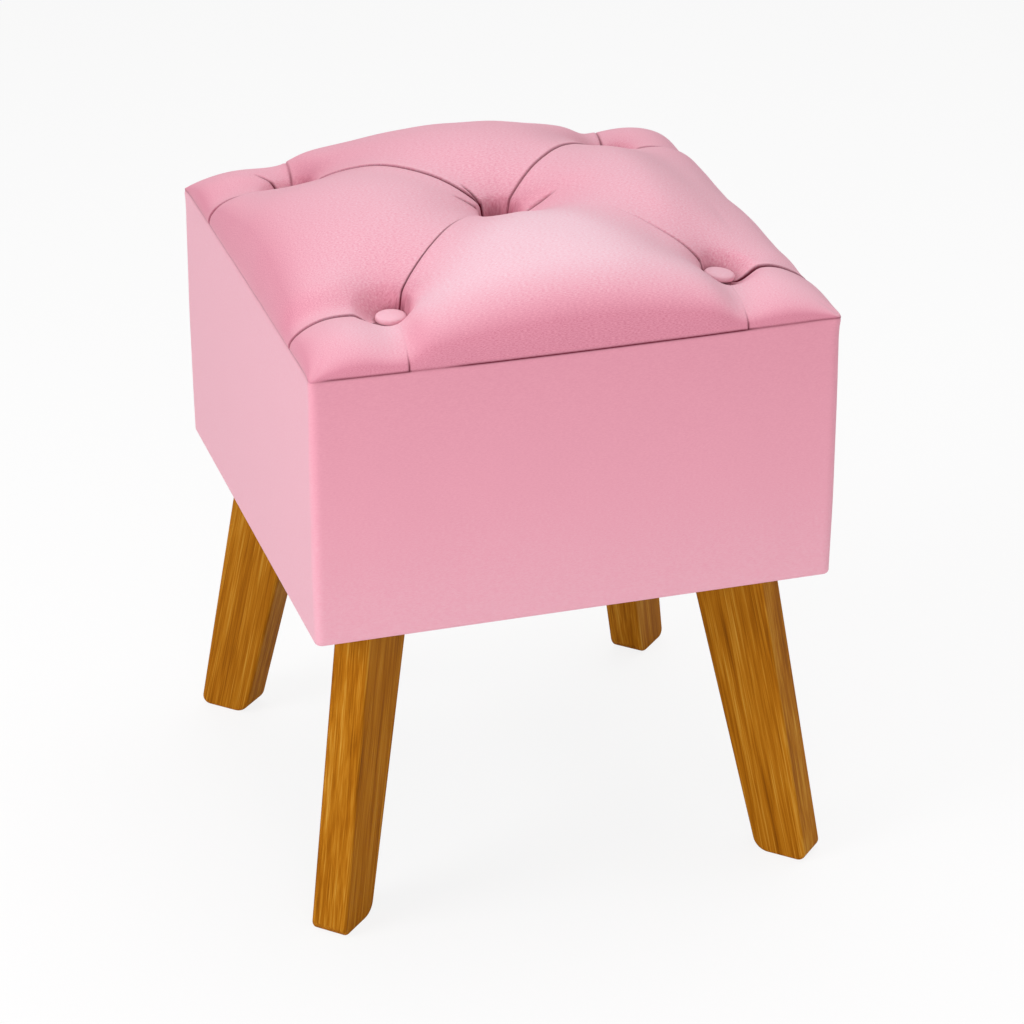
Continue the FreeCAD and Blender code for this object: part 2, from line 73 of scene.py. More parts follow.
# Stuffed seat: dome, wells round the tufts and valleys along the pleats
DOME_RISE = 73.5 * MM
DOME_POWER = 2.556
WELL_START = 4.75 * MM
WELL_STEP = 0.314
WELL_STEP_SPREAD = 2 * MM
WELL_SPREAD = 50 * MM
WELL_FLOOR = 9 * MM
INNER_VALLEY_SHARE = 0.154
INNER_VALLEY_WIDTH = 30 * MM
EDGE_VALLEY_SHARE = 0.414
EDGE_VALLEY_WIDTH = 12.75 * MM
CORNER_VALLEY_WIDTH = 24 * MM
REAR_INNER_SHARE = 0.6  # of these valleys that is left behind the middle
REAR_EDGE_SHARE = 0.75
# The photo shows the right pillow stuffed less towards its edge
SLUMP_SHARE = 0.30
SLUMP_START, SLUMP_END = 90 * MM, 155 * MM
SLUMP_MIDDLE, SLUMP_REACH = -30 * MM, 125 * MM
# The front pillow hangs a little lower where it meets the middle tuft
LIP_DROP = 3.5 * MM
LIP_PLACE = -22 * MM
LIP_WIDTH, LIP_DEPTH = 30 * MM, 18 * MM
# Uneven stuffing seen in the photo: place in plan, reach and height, in millimetres
STUFFING = [
    (-148, -112, 24, 2.5),
    (-135, 85, 38, -5.0),
    (-150, 150, 25, -2.5),
    (146, -120, 22, 9.5),
    (-108, 160, 22, 2.0),
    (160, 20, 40, -3.0),
    (140, 115, 30, 3.0),
    (155, -75, 30, -3.0),
    (52, -50, 32, 5.0),
]

# Cloth of the seat: net, side of the flat cut, and how the stuffing blows it up between held lines
GRID_CELLS = 100
FLAT_SIDE = 0.44
FRAMES = 20
FILL_TRAVEL = 3 * MM
HELD_EDGE, HELD_TUFT, HELD_PLEAT = 1 * MM, 14 * MM, 3 * MM
CLOTH = {
    "quality": 5,
    "mass": 0.3,
    "tension_stiffness": 15,
    "compression_stiffness": 15,
    "bending_stiffness": 0.5,
    "use_pressure": True,
    "uniform_pressure_force": 4.0,
}

# Pleats of the seat: start, end, strength at the start, in the middle, at the end and in the fold just
# above the seam, raised side, width of the slit
PLEATS = [
    (MIDDLE, FRONT_LEFT, (0.45, 0.7, 0.45, 0), 1, 0.6 * MM),
    (MIDDLE, FRONT_RIGHT, (0.0, 0.0, 0.45, 0), 1, 0.6 * MM),
    (MIDDLE, REAR_RIGHT, (0.25, 0.4, 0.5, 0), 1, 0.5 * MM),
    (MIDDLE, REAR_LEFT, (0.7, 0.5, 0.4, 0), -1, 0.5 * MM),
    (FRONT_LEFT, (-HALF, -122 * MM), (0.6, 0.45, 0.45, 0), -1, 0.55 * MM),
    (FRONT_LEFT, (-111 * MM, -HALF), (0.05, 0.02, 0.0, 0.5), -1, 0.45 * MM),
    (FRONT_RIGHT, (112 * MM, -HALF), (0.05, 0.02, 0.0, 0.5), -1, 0.45 * MM),
    (FRONT_RIGHT, (HALF, -118 * MM), (0.7, 0.65, 0.4, 0), 1, 0.85 * MM),
    (REAR_RIGHT, (HALF, 109 * MM), (0.7, 0.5, 0.5, 0), 1, 0.8 * MM),
    (REAR_RIGHT, (124 * MM, HALF), (0.5, 0.25, 0.1, 0.5), 1, 0.7 * MM),
    (REAR_LEFT, (-104 * MM, HALF), (0.3, 0.2, 0.1, 0.1), -1, 0.7 * MM),
    (REAR_LEFT, (-HALF, 101 * MM), (0.5, 0.4, 0.4, 0), -1, 0.7 * MM),
]
SLIT_DEPTH = 6 * MM
SHOULDER = 1.3 * MM
SHOULDER_REACH = 9 * MM
SHOULDER_TURN = 0.9 * MM
PLEAT_FADE = 8 * MM  # a pleat starts and ends this softly at a tuft
SEAM_FOLD_FADE = 3.5 * MM
# Painted shade along each slit: how strong it is, and its widths on the raised and the low side
SHADE_GAIN = 2
RAISED_SHADE, LOW_SHADE = 1.6, 1.2  # widths of the dark line on the two sides of a slit
# Short creases beside the tufts: ends in plan, depth, width, in millimetres
CREASES = [
    ((-5, 4), (-19, 27), 2.6, 1.1),
    ((-5, 2), (-30, 9), 2.4, 1.1),
    ((-4, -14), (39, -7), 3.4, 1.3),
    ((-116, 117), (-133, 142), 2.2, 1.0),
    ((106, 104), (92, 74), 1.4, 1.3),
]
CREASE_FADE = 0.3  # share of its length at each end
CREASE_SHADE = 0.95
# Rows of edges that are cut along the folds, in millimetres from the line
PLEAT_ROWS = (-2.8, -1.6, -0.9, -0.45, 0, 0.45, 0.9, 1.6, 2.8)
CREASE_ROWS = (-1.8, -0.9, 0, 0.9, 1.8)
CUT_REACH = 7 * MM
CUT_MERGE = 0.02 * MM
FOLD_FULL_RISE = 12 * MM  # folds have their full depth from this height above the seam
FOLD_AT_SEAM = 0.6
LUMP_HEIGHT, LUMP_SIZE, LUMP_SEED = 0.5 * MM, 28 * MM, 3.1

# Pockets that the buttons sit in
POCKET_FLOOR = 6 * MM  # above the seam
POCKET_INSET = 1.5 * MM
POCKET_WIDTH, MIDDLE_POCKET_WIDTH = 8 * MM, 4 * MM
POCKET_FORWARD, POCKET_OUTWARD, POCKET_INWARD = 8 * MM, 8 * MM, 6 * MM
BACK_COVER = 2.2 * MM  # height of the cloth over a button's back
BACK_MARGIN, BACK_FADE = 1.5 * MM, 5 * MM
# Painted shade in the hollow behind each button, and a painted shadow line round its rim
POCKET_SHADE, POCKET_SHADE_REACH = 0.26, 20 * MM
POCKET_SHADE_START, POCKET_SHADE_FULL = -4 * MM, 10 * MM
RIM_SHADE, RIM_SHADE_WIDTH = 0.6, 1.3 * MM

# Seam: the last row is drawn in, the line sags between the corners, and the corners stand out as ears
SEAM_ROW = 6 * MM
SEAM_DRAW, SEAM_DRAW_RISE = 1 * MM, 1.6 * MM
CORNER_DROP, SEAM_SAG, LEFT_SEAM_SAG = 0.3 * MM, 1.6 * MM, -1.1 * MM
SEAT_DROP_RISE = 10 * MM
EAR_REACH = 9 * MM
EAR_OUT, EAR_RISE = 1.6 * MM, 6 * MM
SEAM_LINE = 0.8 * MM
# Painted shade in the sewn line: on the sides, and along the front, where it changes from place to place
SIDE_SEAM_DARK = 0.45
FRONT_SEAM_DARK = 0.35
FRONT_SEAM_CHANGES = [(-92 * MM, -70 * MM, 0.65), (108 * MM, 118 * MM, -0.45)]
FRONT_SEAM_DEPTH = 4 * MM
LEFT_CORNER_SEAM = (-174 * MM, -158 * MM, 0.75)
LEFT_CORNER_END = -110 * MM

# Painted light and shade: cloth that faces this way is painted pale, cloth that turns from it is painted
# deep rose
PAINTED_LIGHT_WAY = (0.30, 0.10, 0.95)
PAINTED_LIGHT_FACING = (0.45, 0.72, 0.95)
PAINTED_LIGHT_TONE = (-0.31, 0.0, 0.14)
# Painted shade: the seat is painted darker towards the rear
REAR_PAINTED_SHADE, REAR_PAINTED_SHADE_REACH = -0.09, 120 * MM
# Painted highlight on the front pillow, from the middle tuft forwards, weaker on its right
PAINTED_HIGHLIGHT = 0.28
PALE_START, PALE_FULL, PALE_TAPER = 8 * MM, 72 * MM, 0.8
PALE_FRONT_START, PALE_FRONT_FULL = -165 * MM, -125 * MM
PALE_RIGHT_SHARE, PALE_RIGHT_START, PALE_RIGHT_END = 0.5, 20 * MM, 70 * MM

# Underside of the seat inside the side cover: inset and height of its two rows
UNDERSIDE_ROWS = [(2.5 * MM, SEAM - 6 * MM), (3.5 * MM, SEAT_UNDERSIDE)]
UNDERSIDE_BAND = 9 * MM


def smooth_step(low, high, value):
    share = np.clip((value - low) / (high - low), 0, 1)
    return share * share * (3 - 2 * share)


# Small tools for making pieces
def new_piece(name, bm, smooth=True):
    """A finished mesh object at the origin."""
    bmesh.ops.recalc_face_normals(bm, faces=bm.faces)
    mesh = bpy.data.meshes.new(name)
    bm.to_mesh(mesh)
    bm.free()
    for face in mesh.polygons:
        face.use_smooth = smooth
    obj = bpy.data.objects.new(name, mesh)
    bpy.context.scene.collection.objects.link(obj)
    return obj


def points(mesh):
    values = np.zeros(len(mesh.vertices) * 3, np.float32)
    mesh.vertices.foreach_get("co", values)
    return values.reshape(-1, 3).astype(float)


def set_points(mesh, places):
    mesh.vertices.foreach_set("co", places.astype(np.float32).ravel())
    mesh.update()


def applied(obj):
    """Replaces the object's mesh with the result of its modifiers."""
    graph = bpy.context.evaluated_depsgraph_get()
    mesh = bpy.data.meshes.new_from_object(obj.evaluated_get(graph))
    obj.modifiers.clear()
    obj.data = mesh
    return mesh


def thickened(obj, thickness, offset):
    """Gives a sheet its thickness."""
    wall = obj.modifiers.new("Thickness", "SOLIDIFY")
    wall.thickness = thickness
    wall.offset = offset
    return obj


def bumps(places, size, seed):
    """Smooth noise from -1 to 1 at each place."""
    return np.array([noise.noise(Vector(p) / size + Vector((seed, 0, 0))) for p in places])


# Seat
def side_profile(distance):
    return np.sqrt(np.maximum(0, 1 - np.abs(distance / HALF) ** DOME_POWER))


def valley(across, along, width):
    return np.exp(-((across / width) ** 2) - (np.minimum(along, 0) / width) ** 2)


def crown(x, y):
    """Height of the stuffed cover above the seam."""
    edge = side_profile(x) * side_profile(y)
    near, far = np.minimum(abs(x), abs(y)), np.maximum(abs(x), abs(y))
    inner = valley((far - near) / math.sqrt(2), TUFT - far, INNER_VALLEY_WIDTH)
    outer_width = np.where(near > TUFT, CORNER_VALLEY_WIDTH, EDGE_VALLEY_WIDTH)
    outer = valley(near - TUFT, far - TUFT, outer_width)
    inner = inner * np.where(y > 0, REAR_INNER_SHARE, 1.0)
    outer = outer * np.where(y > 0, REAR_EDGE_SHARE, 1.0)
    rise = DOME_RISE * edge * (1 - INNER_VALLEY_SHARE * inner) * (1 - EDGE_VALLEY_SHARE * outer)
    slump = np.exp(-(((y - SLUMP_MIDDLE) / SLUMP_REACH) ** 4))
    rise *= 1 - SLUMP_SHARE * smooth_step(SLUMP_START, SLUMP_END, x) * slump
    for place_x, place_y, reach, height in STUFFING:
        away = np.hypot(x - place_x * MM, y - place_y * MM)
        rise += height * MM * np.minimum(1, 2 * edge) * np.exp(-((away / (reach * MM)) ** 2))
    wall = 1.0
    for tuft_x, tuft_y in TUFTS.values():
        climb = np.maximum(0, np.hypot(x - tuft_x, y - tuft_y) - WELL_START)
        step = WELL_STEP * np.exp(-climb / WELL_STEP_SPREAD)
        wall = wall * (1 - step - (1 - WELL_STEP) * np.exp(-climb / WELL_SPREAD))
    lip = LIP_DROP * np.exp(-((x / LIP_WIDTH) ** 2) - ((y - LIP_PLACE) / LIP_DEPTH) ** 2)
    return rise * wall + WELL_FLOOR * edge * (1 - wall) - lip


def round_corners(places):
    """Rounds the corners of the outer rings of a square net."""
    size = np.maximum(abs(places[:, 0]), abs(places[:, 1]))
    radius = CORNER_ROUND * smooth_step(HALF - CORNER_FADE, HALF, size) + TINY
    for major, minor in ((0, 1), (1, 0)):
        a, b = abs(places[:, major]), abs(places[:, minor])
        share = np.clip((b - (size - radius)) / radius, 0, 1)
        turned = (a >= b) & (share > 0)
        angle = share * math.pi / 4
        to_major = size - radius + radius * np.cos(angle)
        to_minor = size - radius + radius * np.sin(angle)
        sign_a, sign_b = np.sign(places[:, major]), np.sign(places[:, minor])
        places[turned, major] = (sign_a * to_major)[turned]
        places[turned, minor] = (sign_b * to_minor)[turned]
    return places


def segment(x, y, start, end):
    """Signed distance to the left of a line, distance along it, and its length."""
    length = math.hypot(end[0] - start[0], end[1] - start[1])
    way = ((end[0] - start[0]) / length, (end[1] - start[1]) / length)
    along = (x - start[0]) * way[0] + (y - start[1]) * way[1]
    across = (y - start[1]) * way[0] - (x - start[0]) * way[1]
    return across, along, length


def ear(x, y):
    """How close a place is to an upright corner, from 0 to 1."""
    return np.exp(-(((HALF - abs(x)) ** 2 + (HALF - abs(y)) ** 2) / EAR_REACH**2))


def seam_shade(x, y):
    """How much painted shade the sewn line gets: strongest along the front, faint beside the front left
    pleat.
    """
    front = FRONT_SEAM_DARK
    for start, end, change in FRONT_SEAM_CHANGES:
        front = front + change * smooth_step(start, end, x)
    start, end, dark = LEFT_CORNER_SEAM
    front = np.where(x < LEFT_CORNER_END, dark * smooth_step(start, end, x), front)
    return np.where(y < -HALF + FRONT_SEAM_DEPTH, front, SIDE_SEAM_DARK)


def seam_drop(x, y):
    """How far the seam sags below its corners' height; on the left it bows up instead."""
    share = np.minimum(abs(x), abs(y)) / HALF
    sag = np.where((x < 0) & (abs(x) > abs(y)), LEFT_SEAM_SAG, SEAM_SAG)
    return CORNER_DROP + sag * (1 - share**2)


def fill_with_cloth(obj, places):
    """Blows the cover up between its held lines, as stuffing does."""
    x, y = places[:, 0], places[:, 1]
    held = np.maximum(abs(x), abs(y)) > HALF - HELD_EDGE
    for tuft_x, tuft_y in TUFTS.values():
        held |= np.hypot(x - tuft_x, y - tuft_y) < HELD_TUFT
    for start, end, *_ in PLEATS:
        across, along, length = segment(x, y, start, end)
        held |= (abs(across) < HELD_PLEAT) & (along > 0) & (along < length)
    group = obj.vertex_groups.new(name="held")
    group.add([int(i) for i in np.nonzero(held)[0]], 1.0, "REPLACE")
    cloth = obj.modifiers.new("Stuffing", "CLOTH")
    for name, value in CLOTH.items():
        setattr(cloth.settings, name, value)
    cloth.settings.vertex_group_mass = "held"
    cloth.settings.effector_weights.gravity = 0
    cloth.collision_settings.use_collision = False
    cloth.point_cache.frame_start = 1
    cloth.point_cache.frame_end = FRAMES
    for number in range(1, FRAMES + 1):
        bpy.context.scene.frame_set(number)
    moved = points(applied(obj)) - places
    bpy.context.scene.frame_set(1)
    obj.vertex_groups.clear()
    travel = np.linalg.norm(moved, axis=1)
    return places + moved * np.minimum(1, FILL_TRAVEL / np.maximum(travel, TINY))[:, None]


def stuffed_net():
    """The top of the seat before its folds: a square net, domed, stuffed and made finer."""
    bm = bmesh.new()
    bm.loops.layers.uv.new("FlatCut")
    bmesh.ops.create_grid(bm, x_segments=GRID_CELLS, y_segments=GRID_CELLS, size=1, calc_uvs=True)
    seat = new_piece("seat_cover", bm)
    places = np.sin(points(seat.data) * math.pi / 2) * HALF
    places[:, 2] = SEAM + crown(places[:, 0], places[:, 1])
    places = round_corners(places)
    set_points(seat.data, places)
    set_points(seat.data, fill_with_cloth(seat, places))
    finer = seat.modifiers.new("Finer", "SUBSURF")
    finer.levels = finer.render_levels = 1
    applied(seat)
    return seat


def cut_rows(bm, start, end, rows):
    """Adds rows of edges along a line, close enough to shape a slit."""
    way = Vector((end[0] - start[0], end[1] - start[1], 0)).normalized()
    left = Vector((-way.y, way.x, 0))
    origin = Vector((start[0], start[1], 0))
    length = (Vector((end[0], end[1], 0)) - origin).length
    near = []
    for face in bm.faces:
        place = face.calc_center_median() - origin
        if abs(place.dot(left)) < CUT_REACH and 0 < place.dot(way) < length:
            near.append(face)
    geom = near + list({e for f in near for e in f.edges}) + list({v for f in near for v in f.verts})
    for row in rows:
        cut = bmesh.ops.bisect_plane(
            bm, geom=geom, dist=CUT_MERGE, plane_co=origin + left * row * MM, plane_no=left
        )
        geom = cut["geom"]


def through_three(first, middle, last, share):
    """A curve through a value at the start, in the middle and at the end."""
    ends = first * (1 - share) * (1 - 2 * share) + last * share * (2 * share - 1)
    return ends + 4 * middle * share * (1 - share)


def pleat_depths(x, y):
    """How far the folds move the cover inwards, and how much painted shade each place gets in a fold."""
    inward = np.zeros(len(x))
    fold = np.zeros(len(x))
    for start, end, (first, middle, last, at_seam), side, width in PLEATS:
        across, along, length = segment(x, y, start, end)
        strength = through_three(first, middle, last, np.clip(along / length, 0, 1))
        strength *= smooth_step(0, PLEAT_FADE, along)
        strength += at_seam * np.exp(-np.maximum(0, length - along) / SEAM_FOLD_FADE)
        sewn = max(abs(end[0]), abs(end[1])) > HALF - HELD_EDGE
        strength *= (along < length) if sewn else smooth_step(0, PLEAT_FADE, length - along)
        slit = strength * np.exp(-((across / width) ** 2))
        lean = np.tanh(side * across / SHOULDER_TURN) * np.exp(-abs(across) / SHOULDER_REACH)
        inward += SLIT_DEPTH * slit - SHOULDER * strength * lean
        shade_width = width * np.where(side * across > 0, RAISED_SHADE, LOW_SHADE)
        shaded = np.exp(-((across / shade_width) ** 2))
        fold = np.maximum(fold, np.clip(SHADE_GAIN * strength * shaded, 0, 1))
    for start, end, depth, width in CREASES:
        start, end = [(p[0] * MM, p[1] * MM) for p in (start, end)]
        across, along, length = segment(x, y, start, end)
        fade = CREASE_FADE * length
        window = smooth_step(0, fade, along) * smooth_step(0, fade, length - along)
        line = window * np.exp(-((across / (width * MM)) ** 2))
        inward += depth * MM * line
        fold = np.maximum(fold, CREASE_SHADE * line)
    return inward, fold


def sink_folds(places, normals):
    """Presses pleats, creases and small lumps into the cover; gives back the painted shade of its folds.
    """
    inward, fold = pleat_depths(places[:, 0], places[:, 1])
    inward -= LUMP_HEIGHT * bumps(places, LUMP_SIZE, LUMP_SEED)
    above = smooth_step(0, FOLD_FULL_RISE, places[:, 2] - SEAM)
    places -= normals * (inward * np.maximum(above, FOLD_AT_SEAM))[:, None]
    return fold


def sink_buttons(places):
    """The cover dips under the rim of each button, and stays over the button's back."""
    x, y, z = places.T
    for name, (tuft_x, tuft_y) in TUFTS.items():
        radius = np.hypot(x - tuft_x, y - tuft_y)
        away = np.maximum(radius, HAIR)
        forward = np.clip((tuft_y - y) / away, 0, 1)
        outward = np.sign(tuft_x) * (x - tuft_x) / away
        width = POCKET_WIDTH if tuft_x else MIDDLE_POCKET_WIDTH
        width = width + POCKET_FORWARD * forward + POCKET_OUTWARD * np.clip(outward, 0, 1) ** 2
        width -= POCKET_INWARD * np.clip(-outward, 0, 1)
        dip = 1 - smooth_step(BUTTON_RADIUS - POCKET_INSET, BUTTON_RADIUS + width, radius)
        z -= dip * np.maximum(0, z - (SEAM + POCKET_FLOOR))
        low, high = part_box("button_cap_" + name)
        from_back = np.hypot(x - (low.x + high.x) / 2, y - (low.y + high.y) / 2)
        over = 1 - smooth_step(BACK_RADIUS + BACK_MARGIN, BACK_RADIUS + BACK_FADE, from_back)
        z += over * np.maximum(0, low.z + BACK_COVER - z)


def draw_into_seam(places, edge, rise):
    """Lets the seam sag, and draws the last row of the cover into it."""
    x, y, z = places.T
    z -= seam_drop(x, y) * np.exp(-np.maximum(0, rise) / SEAT_DROP_RISE)
    drawn = SEAM_DRAW * edge * np.exp(-rise / SEAM_DRAW_RISE)
    x -= np.sign(x) * drawn * (abs(x) > abs(y) - HAIR)
    y -= np.sign(y) * drawn * (abs(y) > abs(x) - HAIR)


def shade_folds(places, fold, edge, rise):
    """Adds painted shade at the rim and in the hollow of each button, and along the sewn line, to the
    painted shade of the folds.
    """
    x, y = places[:, 0], places[:, 1]
    for tuft_x, tuft_y in TUFTS.values():
        radius = np.hypot(x - tuft_x, y - tuft_y)
        rim = (radius - BUTTON_RADIUS) / RIM_SHADE_WIDTH
        fold = np.maximum(fold, RIM_SHADE * np.exp(-(rim**2)))
        behind = smooth_step(POCKET_SHADE_START, POCKET_SHADE_FULL, y - tuft_y)
        fold = fold + POCKET_SHADE * behind * np.exp(-((radius / POCKET_SHADE_REACH) ** 2))
    sewn = edge * seam_shade(x, y) * np.exp(-((rise / SEAM_LINE) ** 2))
    return np.maximum(np.minimum(fold, 1), sewn)


def pinch_ears(places, rise):
    """Pulls the corners of the seat out a little, where four layers meet in the seam."""
    x, y = places[:, 0], places[:, 1]
    outward = EAR_OUT * ear(x, y) * np.exp(-np.maximum(0, rise) / EAR_RISE)
    x += np.sign(x) * outward
    y += np.sign(y) * outward


def painted_light_on_seat(places, normals):
    """Painted light and shade: pale where the cloth faces the light, deep rose where it turns away, darker
    towards the rear, with a painted highlight on the front pillow.
    """
    x, y = places[:, 0], places[:, 1]
    tone_and_painted_light = np.interp(normals @ np.array(PAINTED_LIGHT_WAY), PAINTED_LIGHT_FACING, PAINTED_LIGHT_TONE)
    tone_and_painted_light += REAR_PAINTED_SHADE * smooth_step(0, REAR_PAINTED_SHADE_REACH, y)
    pale = smooth_step(PALE_START, PALE_FULL, -y - PALE_TAPER * abs(x))
    pale *= smooth_step(PALE_FRONT_START, PALE_FRONT_FULL, y)
    pale *= 1 - PALE_RIGHT_SHARE * smooth_step(PALE_RIGHT_START, PALE_RIGHT_END, x)
    return tone_and_painted_light + PAINTED_HIGHLIGHT * pale


def close_underside(bm):
    """Closes the seat below with an upright edge and a flat underside, inside the side cover."""
    border = [e for e in bm.edges if e.is_boundary]
    for inset, height in UNDERSIDE_ROWS:
        grown = bmesh.ops.extrude_edge_only(bm, edges=border)["geom"]
        for vert in (g for g in grown if isinstance(g, bmesh.types.BMVert)):
            vert.co.x -= math.copysign(inset, vert.co.x) * (abs(vert.co.x) > HALF - UNDERSIDE_BAND)
            vert.co.y -= math.copysign(inset, vert.co.y) * (abs(vert.co.y) > HALF - UNDERSIDE_BAND)
            vert.co.z = height
        border = [g for g in grown if isinstance(g, bmesh.types.BMEdge) and g.is_boundary]
    bmesh.ops.edgeloop_fill(bm, edges=border)


def seat_cover():
    """Buttoned, stuffed seat: cloth top, closed below by a flat underside."""
    net = stuffed_net()
    bm = bmesh.new()
    bm.from_mesh(net.data)
    for start, end, *_ in PLEATS:
        cut_rows(bm, start, end, PLEAT_ROWS)
    for start, end, *_ in CREASES:
        cut_rows(bm, Vector(start) * MM, Vector(end) * MM, CREASE_ROWS)
    bm.normal_update()
    places = np.array([v.co for v in bm.verts])
    normals = np.array([v.normal for v in bm.verts])
    edge = smooth_step(HALF - SEAM_ROW, HALF, np.maximum(abs(places[:, 0]), abs(places[:, 1])))
    fold = sink_folds(places, normals)
    sink_buttons(places)
    rise = places[:, 2] - SEAM
    draw_into_seam(places, edge, rise)
    fold = shade_folds(places, fold, edge, rise)
    pinch_ears(places, rise)
    tone_and_painted_light = painted_light_on_seat(places, normals)
    shade = bm.verts.layers.float.new("fold")
    painted_light_layer = bm.verts.layers.float.new("tone_and_painted_light")
    for vert, place, depth, tone in zip(bm.verts, places, fold, tone_and_painted_light):
        vert.co = place
        vert[shade] = depth
        vert[painted_light_layer] = tone
    close_underside(bm)
    bpy.data.objects.remove(net)
    return new_piece("seat_cover", bm)


# Side cover
BAND_STEPS = 720
BAND_THICKNESS = 1 * MM
HEM_WIDTH = 21 * MM
HEM_ROWS = 5
HEM_STEP = HEM_WIDTH / 6
BAND_TURN = 2.6 * MM  # radius of the turned edge above the hem
TURN_ROWS = 6
FACE_ROWS = 23
FACE_LOW, FACE_HIGH = BOTTOM + 8 * MM, SEAM - 7 * MM
SEAM_ROWS = (4.5, 3.2, 2.2, 1.4, 0.8, 0.35, 0.0)  # millimetres below the seam
SEAM_TUCK = 1.5  # millimetres
BAND_SWELL, BAND_LUMPS, BAND_LUMP_SIZE = 0.9 * MM, 0.5 * MM, 60 * MM
BAND_LUMP_SEED = Vector((7.7, 0, 0))
# Even tone of the band, painted shade on its front face and painted light on its left face
BAND_NAP, FRONT_PAINTED_SHADE, LEFT_PAINTED_LIGHT = 0.10, -0.24, 0.03
BAND_EAR_HEIGHT = 12 * MM
BAND_SEAM_LINE = 0.7 * MM
BAND_DROP_HEIGHT = 40 * MM


def outline(share):
    """Point and outward direction on the rounded square, at a share of the way round it."""
    straight = HALF - CORNER_ROUND
    quarter = 2 * straight + CORNER_ROUND * math.pi / 2
    turn, rest = divmod(share * 4, 1)
    along = rest * quarter
    if along < 2 * straight:
        point, direction = Vector((along - straight, -HALF, 0)), Vector((0, -1, 0))
    else:
        angle = (along - 2 * straight) / CORNER_ROUND - math.pi / 2
        direction = Vector((math.cos(angle), math.sin(angle), 0))
        point = Vector((straight, -straight, 0)) + direction * CORNER_ROUND
    turned = Matrix.Rotation(turn * math.pi / 2, 3, "Z")
    return turned @ point, turned @ direction


def band_rows():
    """Section of the side cover, from the edge of the hem up to the seam: distance inwards, height."""
    rows = [(HEM_WIDTH - HEM_STEP * k, BOTTOM) for k in range(HEM_ROWS)]
    for k in range(TURN_ROWS):
        angle = k / (TURN_ROWS - 1) * math.pi / 2
        rows.append((BAND_TURN * (1 - math.sin(angle)), BOTTOM + BAND_TURN * (1 - math.cos(angle))))
    rows += [(0, FACE_LOW + (FACE_HIGH - FACE_LOW) * k / (FACE_ROWS - 1)) for k in range(FACE_ROWS)]
    for below in SEAM_ROWS:
        rows.append((SEAM_TUCK * MM * math.exp(-below / SEAM_TUCK), SEAM - below * MM))
    return rows


def band_place(point, direction, inset, height):
    """Place of the side cover: flat hem, round turn, slightly padded face."""
    turn = min(inset, BAND_TURN)
    place = (point - direction * turn) * (1 - (inset - turn) / HALF) + Vector((0, 0, height))
    middle = math.sin(math.pi * min(1, max(0, (height - BOTTOM) / (SEAM - BOTTOM))))
    lump = noise.noise(place / BAND_LUMP_SIZE + BAND_LUMP_SEED)
    return place + direction * (BAND_SWELL + BAND_LUMPS * lump) * middle


def side_cover():
    """One band of cloth round the box, drawn into the seam above and turned under below."""
    bm = bmesh.new()
    shade = bm.verts.layers.float.new("fold")
    painted_light_layer = bm.verts.layers.float.new("tone_and_painted_light")
    bmesh.ops.create_circle(bm, segments=BAND_STEPS, radius=HALF)
    spots = [outline((k + 0.5) / BAND_STEPS) for k in range(BAND_STEPS)]
    rows = band_rows()
    columns = [list(bm.verts)]
    edges = list(bm.edges)
    for _ in rows[1:]:
        grown = bmesh.ops.extrude_edge_only(bm, edges=edges)["geom"]
        edges = [g for g in grown if isinstance(g, bmesh.types.BMEdge)]
        edges = [e for e in edges if e.is_boundary and all(v not in columns[-1] for v in e.verts)]
        columns.append([g for g in grown if isinstance(g, bmesh.types.BMVert)])
    for verts, (inset, height) in zip(columns, rows):
        below = SEAM - height
        near_seam = max(0, 1 - below / BAND_EAR_HEIGHT)
        for vert, (point, direction) in zip(verts, spots):
            place = band_place(point, direction, inset, height)
            # Painted shade darkens the front face towards its top; painted light makes the left face paler
            up_front = max(0, -direction.y) * (height - BOTTOM) / (SEAM - BOTTOM)
            vert[painted_light_layer] = BAND_NAP + FRONT_PAINTED_SHADE * up_front + LEFT_PAINTED_LIGHT * max(0, -direction.x)
            # Painted shade along the seam
            vert[shade] = float(seam_shade(place.x, place.y)) * math.exp(-((below / BAND_SEAM_LINE) ** 2))
            pinch = EAR_OUT * near_seam**2 * float(ear(place.x, place.y))
            place.z -= float(seam_drop(place.x, place.y)) * max(0, 1 - below / BAND_DROP_HEIGHT)
            place.x += math.copysign(pinch, place.x)
            place.y += math.copysign(pinch, place.y)
            vert.co = place
    return thickened(new_piece("side_cover_cloth", bm), BAND_THICKNESS, -1)


# Buttons: height of the middle above the CAD cap's rim, and lean to the right in degrees
BUTTON_SEAT = (4 * MM, 0)
BUTTON_SEATS = {"front_right": (6 * MM, 8)}
BUTTON_FIT = 0.96  # of the CAD cap's radius, drawn in by the cloth
BUTTON_ROUND = 0.55
BUTTON_DOME, BUTTON_UNDER = 0.36, 0.30  # heights as shares of the radius
BUTTON_GATHERS, GATHER_DEPTH, GATHER_START = 17, 0.012, 0.75
BUTTON_NAP = 0.25
# Painted shade on the underside of each button
BUTTON_SHADE, BUTTON_SHADE_START, BUTTON_SHADE_FULL = 0.8, 0.05, -0.35


